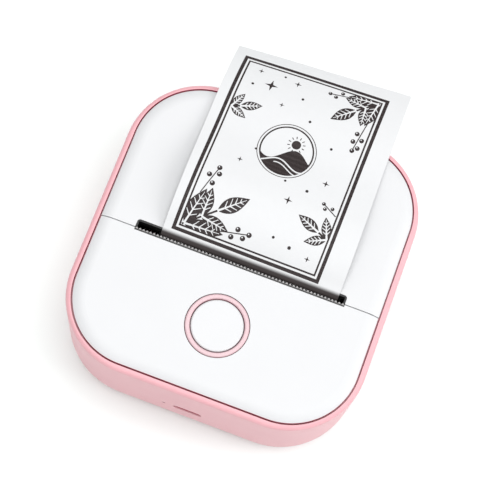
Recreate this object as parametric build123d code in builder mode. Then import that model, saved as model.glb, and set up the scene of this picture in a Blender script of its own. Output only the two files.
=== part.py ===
from build123d import *
import os
from math import pi, sin, cos, atan2, acos, hypot, sqrt, radians

os.makedirs("parts", exist_ok=True)

# ---------------------------------------------------------------------------
# Pocket photo printer. Millimetres, +Z up, front (button side) towards -Y.
# Origin: centre of the body outline, on the surface the foot ring stands on.
# ---------------------------------------------------------------------------

# casing
OUT_X, OUT_Y, OUT_R = 43.47, 44.35, 22.6      # outer half width, half depth, corner radius
IN_X, IN_Y, IN_R = 41.80, 42.69, 20.1         # inner wall
TOP_X, TOP_Y, TOP_R = 41.36, 42.22, 19.7      # white top outline
FOOT_H = 1.0                                  # height of the rubber foot ring
BASE_Z0 = FOOT_H                              # underside of the shell
FLOOR_Z = 3.0                                 # inside floor
RIM_Z = 36.0                                  # rim, and the gap line round the top
TOP_Z = 37.1                                  # highest point of the white top
BOTTOM_R = 7.0                                # rounding under the shell
RIM_R = 1.25                                  # rounding on the rim
CROWN_R, CROWN_OUT = 6.1, 2.6                 # rounding along the edge of the top
PLATE_Z = 35.4                                # underside of the top panels
SKIRT_Z, SKIRT_T = 34.2, 1.5                  # short wall under the panels' edges
LEDGE_Z0, LEDGE_Z1, LEDGE_W = 32.4, 34.1, 1.2 # ledge inside the rim

# seam between front panel and rear cover, and the paper slot
PANEL_EDGE_Y = -4.54
COVER_EDGE_Y = -4.36
SLOT_X0, SLOT_X1 = -31.3, 31.2
SLOT_Y0, SLOT_Y1 = -5.25, -1.9

# cover hinge, a pin along the rear edge
HINGE_Y, HINGE_Z = 42.5, 36.0
KNUCKLE_R, PIN_R, PIN_BORE_R = 1.0, 0.55, 0.60
KNUCKLE_MID, KNUCKLE_END, KNUCKLE_GAP = 8.0, 16.0, 0.15

# button
BTN_X, BTN_Y = 0.1, -22.83
RING_RO, RING_RI = 8.97, 7.62
CAP_R = 7.37

# paper
PAPER_X0, PAPER_X1 = -23.85, 28.82
PAPER_MID = (PAPER_X0 + PAPER_X1) / 2
ROLL_Y, ROLL_Z, ROLL_R = 19.0, 17.8, 13.0
CORE_RO, CORE_RI = 5.4, 4.0

# platen and gears, module 0.5
PLATEN_Y, PLATEN_Z, PLATEN_R = 0.5, 30.5, 4.0
SHAFT_R = 1.5
MODULE = 0.5
T_PLATEN, T_IDLER, T_PINION, T_WHEEL, T_MOTOR = 16, 24, 14, 36, 12
LAYER_A = (-36.6, -34.6)                      # platen gear, idler, small side of compound
LAYER_B = (-38.8, -37.4)                      # large side of compound, motor pinion
IDLER_Y, IDLER_Z = PLATEN_Y, PLATEN_Z - (T_PLATEN + T_IDLER) * MODULE / 2
COMP_Y = IDLER_Y - 9.36
COMP_Z = IDLER_Z + sqrt(((T_IDLER + T_PINION) * MODULE / 2) ** 2 - 9.36 ** 2)
MOTOR_Z = 11.0
MOTOR_Y = COMP_Y - sqrt(((T_WHEEL + T_MOTOR) * MODULE / 2) ** 2 - (COMP_Z - MOTOR_Z) ** 2)
MOTOR_R = 7.0
GEAR_PLATE = (-34.2, -33.2)
POST_R, POST_BORE_R = 1.2, 1.26

# print head: a flat board that faces the platen from the front, tilted back
HEAD_TILT = radians(20.0)
HEAD_GAP = 0.35                               # board face to platen surface
HEAD_N = Vector(0, cos(HEAD_TILT), sin(HEAD_TILT))
HEAD_O = Vector(0, PLATEN_Y, PLATEN_Z) - HEAD_N * (PLATEN_R + HEAD_GAP)

# electronics
BOARD_Z0, BOARD_Z1 = 13.8, 14.8
USB_X, USB_Z = 0.1, 16.4
LIGHT_X, LIGHT_Z = -7.1, 16.2

# fasteners
BOARD_POSTS = [(-17.2, -20.0), (28.3, -20.0), (-17.2, -37.2)]
FRONT_POSTS = [(-32.0, -26.0), (32.0, -26.0)]
REAR_POSTS = [(-33.8, 18.0), (33.8, 18.0)]
RING_X, RING_Y, RING_R, RING_W = 28.6, 32.6, 13.0, 3.2   # rubber foot ring, outer size and width
COVER_SCREWS = [(-28.0, 9.0), (28.0, 9.0)]


def gear_points(teeth, cy, cz, phase):
    """Outline of a spur gear seen along +X, a tooth centred on phase."""
    r = teeth * MODULE / 2
    root, tip = r - 0.55, r + 0.40
    pts = []
    for k in range(teeth):
        a = phase + 2 * pi * k / teeth
        for rad, half in ((root, -0.46), (tip, -0.19), (tip, 0.19), (root, 0.46)):
            ang = a + half / rad
            pts.append((cy + rad * cos(ang), cz + rad * sin(ang)))
    return pts


def mesh_phase(ta, pa, ya, za, tb, yb, zb):
    """Phase of gear b so that it meshes with gear a."""
    ab = atan2(zb - za, yb - ya)
    return (ab + pi) - (ta / tb) * (pa - ab) + pi / tb


PH_IDLER = pi / 2
PH_PLATEN = mesh_phase(T_IDLER, PH_IDLER, IDLER_Y, IDLER_Z, T_PLATEN, PLATEN_Y, PLATEN_Z)
PH_PINION = mesh_phase(T_IDLER, PH_IDLER, IDLER_Y, IDLER_Z, T_PINION, COMP_Y, COMP_Z)
PH_WHEEL = 0.1
PH_MOTOR = mesh_phase(T_WHEEL, PH_WHEEL, COMP_Y, COMP_Z, T_MOTOR, MOTOR_Y, MOTOR_Z)


def ribbon(path, half):
    """Offset a polyline both ways along its normals; returns the two sides."""
    left, right = [], []
    for i, (y, z) in enumerate(path):
        y0, z0 = path[max(i - 1, 0)]
        y1, z1 = path[min(i + 1, len(path) - 1)]
        length = hypot(y1 - y0, z1 - z0)
        ny, nz = -(z1 - z0) / length, (y1 - y0) / length
        left.append((y + ny * half, z + nz * half))
        right.append((y - ny * half, z - nz * half))
    return left, right


# ---------------------------------------------------------------------------
# Lower casing
# ---------------------------------------------------------------------------

# the room inside the shell, rounded along the floor
with BuildPart() as shell_cavity:
    with BuildSketch(Plane.XY.offset(FLOOR_Z)):
        RectangleRounded(2 * IN_X, 2 * IN_Y, IN_R)
    extrude(amount=RIM_Z + 6 - FLOOR_Z)
    fillet(shell_cavity.faces().sort_by(Axis.Z)[0].edges(), BOTTOM_R - 1.7)

with BuildPart() as base_shell:
    with BuildSketch(Plane.XY.offset(BASE_Z0)):
        RectangleRounded(2 * OUT_X, 2 * OUT_Y, OUT_R)
    extrude(amount=RIM_Z - BASE_Z0)
    fillet(base_shell.faces().sort_by(Axis.Z)[0].edges(), BOTTOM_R)
    fillet(base_shell.faces().sort_by(Axis.Z)[-1].edges(), RIM_R)
    add(shell_cavity.part, mode=Mode.SUBTRACT)
    # ledge under the panels' skirts
    with BuildSketch(Plane.XY.offset(LEDGE_Z0)):
        RectangleRounded(2 * (IN_X + 0.4), 2 * (IN_Y + 0.4), IN_R + 0.4)
        RectangleRounded(2 * (IN_X - LEDGE_W), 2 * (IN_Y - LEDGE_W), IN_R - LEDGE_W, mode=Mode.SUBTRACT)
    extrude(amount=LEDGE_Z1 - LEDGE_Z0)
    # screw posts
    with BuildSketch(Plane.XY.offset(FLOOR_Z - 0.5)):
        with Locations(*FRONT_POSTS):
            Circle(2.8)
    extrude(amount=19.9 - FLOOR_Z + 0.5)
    with BuildSketch(Plane.XY.offset(FLOOR_Z - 0.5)):
        with Locations(*REAR_POSTS):
            Circle(2.4)
    extrude(amount=12.0 - FLOOR_Z + 0.5)
    # posts that carry the main board, each with a locating pin
    with BuildSketch(Plane.XY.offset(FLOOR_Z - 0.5)):
        with Locations(*BOARD_POSTS):
            Circle(1.5)
    extrude(amount=BOARD_Z0 - 0.02 - FLOOR_Z + 0.5)
    with BuildSketch(Plane.XY.offset(BOARD_Z0 - 1.0)):
        with Locations(*BOARD_POSTS):
            Circle(0.9)
    extrude(amount=2.6)
    # through holes and the deep seats for the screw heads
    with BuildSketch(Plane.XY):
        with Locations(*FRONT_POSTS, *REAR_POSTS):
            Circle(1.05)
    extrude(amount=25, mode=Mode.SUBTRACT)
    with BuildSketch(Plane.XY):
        with Locations(*FRONT_POSTS):
            Circle(1.9)
    extrude(amount=12.0, mode=Mode.SUBTRACT)
    with BuildSketch(Plane.XY):
        with Locations(*REAR_POSTS):
            Circle(1.75)
    extrude(amount=4.5, mode=Mode.SUBTRACT)
    # shallow groove for the foot ring
    with BuildSketch(Plane.XY.offset(BASE_Z0)):
        RectangleRounded(2 * (RING_X + 0.1), 2 * (RING_Y + 0.1), RING_R + 0.1)
        RectangleRounded(
            2 * (RING_X - RING_W - 0.1), 2 * (RING_Y - RING_W - 0.1), RING_R - RING_W - 0.1, mode=Mode.SUBTRACT
        )
    extrude(amount=0.4, mode=Mode.SUBTRACT)
    # battery rails
    with BuildSketch(Plane.XY.offset(FLOOR_Z - 0.5)):
        with Locations((6.0, -19.4), (6.0, -38.6)):
            Rectangle(36.0, 0.9)
    extrude(amount=4.0)
    # charging socket opening and light hole in the front wall
    with BuildSketch(Plane.XZ.offset(IN_Y - 1.0)):
        with Locations((USB_X, USB_Z)):
            SlotOverall(8.6, 2.9)
        with Locations((LIGHT_X, LIGHT_Z)):
            Circle(0.62)
    extrude(amount=4.0, mode=Mode.SUBTRACT)
    # hinge knuckles on the rear rim, with room between them for the cover's
    with BuildSketch(Plane.YZ.offset(-KNUCKLE_END)):
        with Locations((HINGE_Y, HINGE_Z)):
            Circle(KNUCKLE_R)
    extrude(amount=2 * KNUCKLE_END)
    with BuildSketch(Plane.YZ.offset(-KNUCKLE_MID - KNUCKLE_GAP)):
        with Locations((HINGE_Y, HINGE_Z)):
            Circle(KNUCKLE_R + 0.3)
    extrude(amount=2 * (KNUCKLE_MID + KNUCKLE_GAP), mode=Mode.SUBTRACT)
    with BuildSketch(Plane.YZ.offset(-KNUCKLE_END - 0.5)):
        with Locations((HINGE_Y, HINGE_Z)):
            Circle(PIN_BORE_R)
    extrude(amount=2 * KNUCKLE_END + 1.0, mode=Mode.SUBTRACT)
base_shell.part.label = "base_shell"
export_step(base_shell.part, "parts/base_shell.step")

with BuildPart() as foot_ring:
    with BuildSketch(Plane.XY):
        RectangleRounded(2 * RING_X, 2 * RING_Y, RING_R)
        RectangleRounded(2 * (RING_X - RING_W), 2 * (RING_Y - RING_W), RING_R - RING_W, mode=Mode.SUBTRACT)
    extrude(amount=FOOT_H + 0.4)
    fillet(foot_ring.faces().group_by(Axis.Z)[0].edges(), 0.4)
foot_ring.part.label = "foot_ring"
export_step(foot_ring.part, "parts/foot_ring.step")

with BuildPart() as case_screws:
    for posts, seat, length in ((FRONT_POSTS, 12.0, 15.0), (REAR_POSTS, 4.5, 11.0)):
        with BuildSketch(Plane.XY.offset(seat - 1.3)):
            with Locations(*posts):
                Circle(1.65)
        extrude(amount=1.3)
        with BuildSketch(Plane.XY.offset(seat - 0.3)):
            with Locations(*posts):
                Circle(0.85)
        extrude(amount=length)
        with BuildSketch(Plane.XY.offset(seat - 1.3)):
            with Locations(*posts):
                Rectangle(2.0, 0.4)
                Rectangle(0.4, 2.0)
        extrude(amount=0.7, mode=Mode.SUBTRACT)
case_screws.part.label = "case_screws"
export_step(case_screws.part, "parts/case_screws.step")

# ---------------------------------------------------------------------------
# White top: fixed front panel and hinged rear cover
# ---------------------------------------------------------------------------

with BuildPart() as front_panel:
    with BuildSketch(Plane.XY.offset(28)):
        RectangleRounded(2 * (TOP_X + CROWN_OUT), 2 * (TOP_Y + CROWN_OUT), TOP_R + CROWN_OUT)
    extrude(amount=TOP_Z - 28)
    fillet(front_panel.faces().sort_by(Axis.Z)[-1].edges(), CROWN_R)
    with BuildSketch(Plane.XY.offset(SKIRT_Z)):
        RectangleRounded(2 * TOP_X, 2 * TOP_Y, TOP_R)
    extrude(amount=TOP_Z + 2 - SKIRT_Z, mode=Mode.INTERSECT)
    with BuildSketch(Plane.XY.offset(SKIRT_Z)):
        RectangleRounded(2 * (TOP_X - SKIRT_T), 2 * (TOP_Y - SKIRT_T), TOP_R - SKIRT_T)
    extrude(amount=PLATE_Z - SKIRT_Z, mode=Mode.SUBTRACT)
    # keep the part in front of the seam
    with BuildSketch(Plane.XY.offset(28)):
        with Locations((0, PANEL_EDGE_Y + 50)):
            Rectangle(100, 100)
    extrude(amount=12, mode=Mode.SUBTRACT)
    fillet(
        front_panel.edges().filter_by(Axis.X).group_by(Axis.Y)[-1].sort_by(Axis.Z)[-1], 0.2
    )
    # slot edge, button opening
    with BuildSketch(Plane.XY.offset(28)):
        with Locations(((SLOT_X0 + SLOT_X1) / 2, SLOT_Y0 + 5)):
            Rectangle(SLOT_X1 - SLOT_X0, 10)
        with Locations((BTN_X, BTN_Y)):
            Circle(RING_RO + 0.2)
    extrude(amount=12, mode=Mode.SUBTRACT)
    # bosses over the base's posts
    with BuildSketch(Plane.XY.offset(20.0)):
        with Locations(*FRONT_POSTS):
            Circle(2.4)
    extrude(amount=PLATE_Z + 0.3 - 20.0)
    with BuildSketch(Plane.XY.offset(20.0)):
        with Locations(*FRONT_POSTS):
            Circle(0.9)
    extrude(amount=9.0, mode=Mode.SUBTRACT)
    # ribs that stiffen the plate
    with BuildSketch(Plane.XY.offset(PLATE_Z - 1.4)):
        with Locations((-22.0, -22.5), (22.0, -22.5)):
            Rectangle(1.0, 24.0)
    extrude(amount=1.7)
front_panel.part.label = "front_panel"
export_step(front_panel.part, "parts/front_panel.step")

with BuildPart() as rear_cover:
    with BuildSketch(Plane.XY.offset(28)):
        RectangleRounded(2 * (TOP_X + CROWN_OUT), 2 * (TOP_Y + CROWN_OUT), TOP_R + CROWN_OUT)
    extrude(amount=TOP_Z - 28)
    fillet(rear_cover.faces().sort_by(Axis.Z)[-1].edges(), CROWN_R)
    with BuildSketch(Plane.XY.offset(SKIRT_Z)):
        RectangleRounded(2 * TOP_X, 2 * TOP_Y, TOP_R)
    extrude(amount=TOP_Z + 2 - SKIRT_Z, mode=Mode.INTERSECT)
    with BuildSketch(Plane.XY.offset(SKIRT_Z)):
        RectangleRounded(2 * (TOP_X - SKIRT_T), 2 * (TOP_Y - SKIRT_T), TOP_R - SKIRT_T)
    extrude(amount=PLATE_Z - SKIRT_Z, mode=Mode.SUBTRACT)
    # keep the part behind the seam
    with BuildSketch(Plane.XY.offset(28)):
        with Locations((0, COVER_EDGE_Y - 50)):
            Rectangle(100, 100)
    extrude(amount=12, mode=Mode.SUBTRACT)
    fillet(
        rear_cover.edges().filter_by(Axis.X).group_by(Axis.Y)[0].sort_by(Axis.Z)[-1], 0.2
    )
    # paper slot with rounded rear corners
    with BuildSketch(Plane.XY.offset(28)):
        with Locations(((SLOT_X0 + SLOT_X1) / 2, SLOT_Y1 - 5)):
            RectangleRounded(SLOT_X1 - SLOT_X0, 10, 0.9)
    extrude(amount=12, mode=Mode.SUBTRACT)
    # room for the base's knuckles, then the cover's own knuckle
    with BuildSketch(Plane.YZ.offset(-KNUCKLE_END - 0.3)):
        with Locations((HINGE_Y, HINGE_Z)):
            Circle(KNUCKLE_R + 0.3)
    extrude(amount=2 * KNUCKLE_END + 0.6, mode=Mode.SUBTRACT)
    with BuildSketch(Plane.YZ.offset(-KNUCKLE_MID + KNUCKLE_GAP)):
        with Locations((HINGE_Y, HINGE_Z)):
            Circle(KNUCKLE_R)
        with BuildLine():
            Polyline(
                (HINGE_Y, HINGE_Z - 0.95), (HINGE_Y - 2.2, HINGE_Z - 0.95),
                (HINGE_Y - 2.2, HINGE_Z + 0.55), (HINGE_Y, HINGE_Z + 0.55), close=True,
            )
        make_face()
    extrude(amount=2 * (KNUCKLE_MID - KNUCKLE_GAP))
    with BuildSketch(Plane.YZ.offset(-KNUCKLE_END - 0.5)):
        with Locations((HINGE_Y, HINGE_Z)):
            Circle(PIN_BORE_R)
    extrude(amount=2 * KNUCKLE_END + 1.0, mode=Mode.SUBTRACT)
    # bosses that carry the inner frame
    with BuildSketch(Plane.XY.offset(33.25)):
        with Locations(*COVER_SCREWS):
            Circle(2.2)
    extrude(amount=PLATE_Z + 0.3 - 33.25)
    with BuildSketch(Plane.XY.offset(33.25)):
        with Locations(*COVER_SCREWS):
            Circle(0.75)
    extrude(amount=2.2, mode=Mode.SUBTRACT)
rear_cover.part.label = "rear_cover"
export_step(rear_cover.part, "parts/rear_cover.step")

with BuildPart() as hinge_pin:
    with BuildSketch(Plane.YZ.offset(-KNUCKLE_END + 0.2)):
        with Locations((HINGE_Y, HINGE_Z)):
            Circle(PIN_R)
    extrude(amount=2 * KNUCKLE_END - 0.4)
hinge_pin.part.label = "hinge_pin"
export_step(hinge_pin.part, "parts/hinge_pin.step")

# black toothed bar that the paper is torn against
TEETH = 60
TOOTH_PITCH = (SLOT_X1 - SLOT_X0 - 0.1) / TEETH
with BuildPart() as tear_bar:
    with BuildSketch(Plane.XY.offset(36.25)):
        with BuildLine():
            edge = [(SLOT_X0 + 0.05, SLOT_Y0 + 0.05)]
            for i in range(TEETH):
                x = SLOT_X0 + 0.05 + i * TOOTH_PITCH
                edge += [(x + 0.06, -4.72), (x + TOOTH_PITCH / 2, -4.2), (x + TOOTH_PITCH - 0.06, -4.72)]
            edge += [(SLOT_X1 - 0.05, SLOT_Y0 + 0.05)]
            Polyline(*edge, close=True)
        make_face()
    extrude(amount=0.7)
    with BuildSketch(Plane.XY.offset(34.3)):
        with Locations(((SLOT_X0 + SLOT_X1) / 2, (SLOT_Y0 + 0.05 - 4.72) / 2)):
            Rectangle(SLOT_X1 - SLOT_X0 - 0.1, -4.72 - SLOT_Y0 - 0.05)
    extrude(amount=2.2)
    with BuildSketch(Plane.XY.offset(34.3)):
        with Locations(((SLOT_X0 + SLOT_X1) / 2, -7.2)):
            Rectangle(SLOT_X1 - SLOT_X0 - 0.1, 4.96)
    extrude(amount=1.0)
tear_bar.part.label = "tear_bar"
export_step(tear_bar.part, "parts/tear_bar.step")

# ---------------------------------------------------------------------------
# Button
# ---------------------------------------------------------------------------

with BuildPart() as button_ring:
    with BuildSketch(Plane.XY.offset(34.3)):
        with Locations((BTN_X, BTN_Y)):
            Circle(RING_RO + 1.2)
            Circle(RING_RI, mode=Mode.SUBTRACT)
    extrude(amount=1.05)
    with BuildSketch(Plane.XY.offset(35.3)):
        with Locations((BTN_X, BTN_Y)):
            Circle(RING_RO)
            Circle(RING_RI, mode=Mode.SUBTRACT)
    extrude(amount=37.3 - 35.3)
    fillet(button_ring.faces().sort_by(Axis.Z)[-1].edges(), 0.45)
button_ring.part.label = "button_ring"
export_step(button_ring.part, "parts/button_ring.step")

with BuildPart() as button_cap:
    with BuildSketch(Plane.XY.offset(34.1)):
        with Locations((BTN_X, BTN_Y)):
            Circle(CAP_R)
    extrude(amount=37.2 - 34.1)
    fillet(button_cap.faces().sort_by(Axis.Z)[-1].edges(), 0.5)
    with BuildSketch(Plane.XY.offset(33.0)):
        with Locations((BTN_X, BTN_Y)):
            Circle(8.3)
    extrude(amount=1.1)
    with BuildSketch(Plane.XY.offset(19.85)):
        with Locations((BTN_X, BTN_Y)):
            Circle(2.0)
    extrude(amount=33.1 - 19.85)
button_cap.part.label = "button_cap"
export_step(button_cap.part, "parts/button_cap.step")

# ---------------------------------------------------------------------------
# Electronics
# ---------------------------------------------------------------------------

with BuildPart() as main_board:
    with BuildSketch(Plane.XY.offset(BOARD_Z0)):
        with BuildLine():
            Polyline(
                (-19.0, -18.2), (30.0, -18.2), (30.0, -21.8), (27.0, -24.0), (27.0, -33.0), (21.0, -39.5), (8.0, -39.5),
                (8.0, -41.9), (-9.5, -41.9), (-9.5, -39.5), (-19.0, -39.0), close=True,
            )
        make_face()
        with Locations(*BOARD_POSTS):
            Circle(1.0, mode=Mode.SUBTRACT)
    extrude(amount=BOARD_Z1 - BOARD_Z0)
main_board.part.label = "main_board"
export_step(main_board.part, "parts/main_board.step")

# processor, radio module, connectors and a coil on the board
with BuildPart() as board_parts:
    with BuildSketch(Plane.XY.offset(BOARD_Z1 + 0.02)):
        with Locations((14.0, -26.5)):
            RectangleRounded(9.0, 9.0, 0.3)
        with Locations((-11.5, -29.5)):
            RectangleRounded(5.0, 7.0, 0.3)
    extrude(amount=1.2)
    with BuildSketch(Plane.XY.offset(BOARD_Z1 + 0.02)):
        with Locations((13.0, -36.3)):
            RectangleRounded(5.0, 5.0, 1.0)
        with Locations((22.5, -26.0)):
            Rectangle(4.0, 6.0)
        with Locations((13.0, -19.6)):
            Rectangle(15.0, 2.4)
    extrude(amount=2.4)
board_parts.part.label = "board_parts"
export_step(board_parts.part, "parts/board_parts.step")

with BuildPart() as usb_socket:
    with BuildSketch(Plane.XZ.offset(35.3)):
        with Locations((USB_X, USB_Z)):
            RectangleRounded(8.94, 3.16, 1.2)
    extrude(amount=42.55 - 35.3)
    with BuildSketch(Plane.XZ.offset(37.0)):
        with Locations((USB_X, USB_Z)):
            RectangleRounded(8.34, 2.56, 1.2)
    extrude(amount=6.0, mode=Mode.SUBTRACT)
    with BuildSketch(Plane.XZ.offset(36.8)):
        with Locations((USB_X, USB_Z)):
            Rectangle(6.7, 0.7)
    extrude(amount=41.6 - 36.8)
usb_socket.part.label = "usb_socket"
export_step(usb_socket.part, "parts/usb_socket.step")

with BuildPart() as tact_switch:
    with BuildSketch(Plane.XY.offset(BOARD_Z1 + 0.02)):
        with Locations((BTN_X, BTN_Y)):
            RectangleRounded(6.2, 6.2, 0.4)
    extrude(amount=3.4)
    with BuildSketch(Plane.XY.offset(BOARD_Z1 + 3.3)):
        with Locations((BTN_X, BTN_Y)):
            Circle(1.75)
    extrude(amount=19.35 - BOARD_Z1 - 3.3)
tact_switch.part.label = "tact_switch"
export_step(tact_switch.part, "parts/tact_switch.step")

with BuildPart() as status_light:
    with BuildSketch(Plane.XZ.offset(39.0)):
        with Locations((LIGHT_X, LIGHT_Z)):
            Circle(0.55)
    extrude(amount=44.3 - 39.0)
    with BuildSketch(Plane.XZ.offset(38.6)):
        with Locations((LIGHT_X, (BOARD_Z1 + 0.02 + 17.3) / 2)):
            Rectangle(2.4, 17.3 - BOARD_Z1 - 0.02)
    extrude(amount=2.4)
status_light.part.label = "status_light"
export_step(status_light.part, "parts/status_light.step")

with BuildPart() as battery_pack:
    with BuildSketch(Plane.YZ.offset(-14.5)):
        with Locations((-29.0, 7.6)):
            RectangleRounded(17.6, 8.0, 3.0)
    extrude(amount=41.0)
    with BuildSketch(Plane.YZ.offset(-16.5)):
        with Locations((-29.0, 7.6)):
            Rectangle(13.0, 3.0)
    extrude(amount=2.2)
battery_pack.part.label = "battery_pack"
export_step(battery_pack.part, "parts/battery_pack.step")

# ---------------------------------------------------------------------------
# Print mechanism: frame, head, motor and gears
# ---------------------------------------------------------------------------

with BuildPart() as mechanism_frame:
    # cross wall behind the head
    with BuildSketch(Plane.YZ.offset(-33.1)):
        with Locations((-10.3, 26.2)):
            Rectangle(1.4, 14.4)
        with Locations((-8.4, 19.7)):
            Rectangle(4.0, 1.4)
    extrude(amount=33.1 + 34.4)
    # right cheek with an open seat for the platen shaft
    with BuildSketch(Plane.YZ.offset(33.4)):
        with BuildLine():
            Polyline(
                (-20.0, FLOOR_Z + 0.05), (8.0, FLOOR_Z + 0.05), (8.0, 26.0), (4.5, 31.6),
                (2.4, 31.6), (2.4, 28.7), (-2.0, 28.7), (-2.0, 31.6), (-4.0, 33.4),
                (-11.0, 33.4), (-20.0, 20.0), close=True,
            )
        make_face()
    extrude(amount=1.0)
    # foot flange
    with BuildSketch(Plane.XY.offset(FLOOR_Z + 0.05)):
        with Locations((30.2, -9.0)):
            Rectangle(6.5, 12.0)
    extrude(amount=1.2)
    with BuildSketch(Plane.YZ.offset(27.0)):
        with BuildLine():
            Polyline((-11.0, FLOOR_Z + 0.05), (-9.6, FLOOR_Z + 0.05), (-9.6, 20.0), (-11.0, 20.0), close=True)
        make_face()
    extrude(amount=6.6)
mechanism_frame.part.label = "mechanism_frame"
export_step(mechanism_frame.part, "parts/mechanism_frame.step")

with BuildPart() as gear_plate:
    with BuildSketch(Plane.YZ.offset(GEAR_PLATE[0])):
        with BuildLine():
            Polyline(
                (-22.0, FLOOR_Z + 0.05), (8.0, FLOOR_Z + 0.05), (8.0, 26.0), (4.5, 31.6),
                (2.4, 31.6), (2.4, 28.7), (-2.0, 28.7), (-2.0, 31.6), (-4.0, 33.4),
                (-11.0, 33.4), (-22.0, 20.0), close=True,
            )
        make_face()
        with Locations((MOTOR_Y, MOTOR_Z)):
            Circle(1.6, mode=Mode.SUBTRACT)
    extrude(amount=GEAR_PLATE[1] - GEAR_PLATE[0])
    # gear posts, with a collar at the root
    with BuildSketch(Plane.YZ.offset(-37.2)):
        with Locations((IDLER_Y, IDLER_Z)):
            Circle(POST_R)
    extrude(amount=3.2)
    with BuildSketch(Plane.YZ.offset(-39.8)):
        with Locations((COMP_Y, COMP_Z)):
            Circle(POST_R)
    extrude(amount=5.8)
gear_plate.part.label = "gear_plate"
export_step(gear_plate.part, "parts/gear_plate.step")

with BuildPart() as head_board:
    with BuildSketch(Plane(origin=HEAD_O, x_dir=(1, 0, 0), z_dir=HEAD_N)):
        with Locations((PAPER_MID, 0)):
            Rectangle(57.0, 9.4)
    extrude(amount=-1.0)
head_board.part.label = "head_board"
export_step(head_board.part, "parts/head_board.step")

with BuildPart() as heat_sink:
    with BuildSketch(Plane(origin=HEAD_O - HEAD_N * 1.02, x_dir=(1, 0, 0), z_dir=HEAD_N)):
        with Locations((PAPER_MID - 1.5, 0)):
            Rectangle(56.0, 9.4)
    extrude(amount=-1.5)
    with BuildSketch(Plane(origin=HEAD_O - HEAD_N * 2.4, x_dir=(1, 0, 0), z_dir=HEAD_N)):
        with Locations((PAPER_MID - 1.5, -3.6)):
            Rectangle(56.0, 1.2)
    extrude(amount=-1.2)
heat_sink.part.label = "heat_sink"
export_step(heat_sink.part, "parts/heat_sink.step")

SPRING_TIP = HEAD_O - HEAD_N * 2.62
with BuildPart() as head_spring:
    with BuildSketch(Plane.YZ.offset(-14.0)):
        with BuildLine() as spring_path:
            FilletPolyline(
                (-9.35, 21.5), (-9.35, 31.2), (SPRING_TIP.Y - 0.35, SPRING_TIP.Z + 0.5),
                (SPRING_TIP.Y - 1.6, SPRING_TIP.Z - 2.6), radius=0.6,
            )
        trace(line_width=0.3)
    extrude(amount=32.0)
head_spring.part.label = "head_spring"
export_step(head_spring.part, "parts/head_spring.step")

CABLE_TOP = HEAD_O - HEAD_N * 0.5
with BuildPart() as head_cable:
    with BuildSketch(Plane.YZ.offset(6.0)):
        with BuildLine():
            FilletPolyline(
                (CABLE_TOP.Y + sin(HEAD_TILT) * 4.75, CABLE_TOP.Z - cos(HEAD_TILT) * 4.75),
                (CABLE_TOP.Y + sin(HEAD_TILT) * 6.6, CABLE_TOP.Z - cos(HEAD_TILT) * 6.6),
                (-6.2, 17.9), (-16.6, 18.4), (-19.0, BOARD_Z1 + 2.6), radius=0.5,
            )
        trace(line_width=0.25)
    extrude(amount=14.0)
head_cable.part.label = "head_cable"
export_step(head_cable.part, "parts/head_cable.step")

with BuildPart() as stepper_motor:
    with BuildSketch(Plane.YZ.offset(-33.1)):
        with Locations((MOTOR_Y, MOTOR_Z)):
            Circle(MOTOR_R)
    extrude(amount=13.6)
    fillet(stepper_motor.faces().sort_by(Axis.X)[-1].edges(), 0.6)
    with BuildSketch(Plane.YZ.offset(-33.1)):
        with Locations((MOTOR_Y, MOTOR_Z)):
            Circle(0.8)
    extrude(amount=7.0, mode=Mode.SUBTRACT)
    with BuildSketch(Plane.XY.offset(MOTOR_Z + 1.0)):
        with Locations((-26.0, MOTOR_Y - 7.2)):
            Rectangle(7.0, 3.0)
    extrude(amount=3.4)
stepper_motor.part.label = "stepper_motor"
export_step(stepper_motor.part, "parts/stepper_motor.step")

with BuildPart() as motor_pinion:
    with BuildSketch(Plane.YZ.offset(LAYER_B[0])):
        with BuildLine():
            Polyline(*gear_points(T_MOTOR, MOTOR_Y, MOTOR_Z, PH_MOTOR), close=True)
        make_face()
    extrude(amount=LAYER_B[1] - LAYER_B[0])
    with BuildSketch(Plane.YZ.offset(LAYER_B[0])):
        with Locations((MOTOR_Y, MOTOR_Z)):
            Circle(0.75)
    extrude(amount=-27.0 - LAYER_B[0])
motor_pinion.part.label = "motor_pinion"
export_step(motor_pinion.part, "parts/motor_pinion.step")

with BuildPart() as compound_gear:
    with BuildSketch(Plane.YZ.offset(LAYER_B[0])):
        with BuildLine():
            Polyline(*gear_points(T_WHEEL, COMP_Y, COMP_Z, PH_WHEEL), close=True)
        make_face()
    extrude(amount=LAYER_B[1] - LAYER_B[0])
    with BuildSketch(Plane.YZ.offset(LAYER_B[1] - 0.1)):
        with BuildLine():
            Polyline(*gear_points(T_PINION, COMP_Y, COMP_Z, PH_PINION), close=True)
        make_face()
    extrude(amount=LAYER_A[1] - LAYER_B[1] + 0.1)
    with BuildSketch(Plane.YZ.offset(LAYER_B[0] - 1)):
        with Locations((COMP_Y, COMP_Z)):
            Circle(POST_BORE_R)
    extrude(amount=8, mode=Mode.SUBTRACT)
compound_gear.part.label = "compound_gear"
export_step(compound_gear.part, "parts/compound_gear.step")

with BuildPart() as idler_gear:
    with BuildSketch(Plane.YZ.offset(LAYER_A[0])):
        with BuildLine():
            Polyline(*gear_points(T_IDLER, IDLER_Y, IDLER_Z, PH_IDLER), close=True)
        make_face()
        with Locations((IDLER_Y, IDLER_Z)):
            Circle(POST_BORE_R, mode=Mode.SUBTRACT)
    extrude(amount=LAYER_A[1] - LAYER_A[0])
idler_gear.part.label = "idler_gear"
export_step(idler_gear.part, "parts/idler_gear.step")

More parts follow.
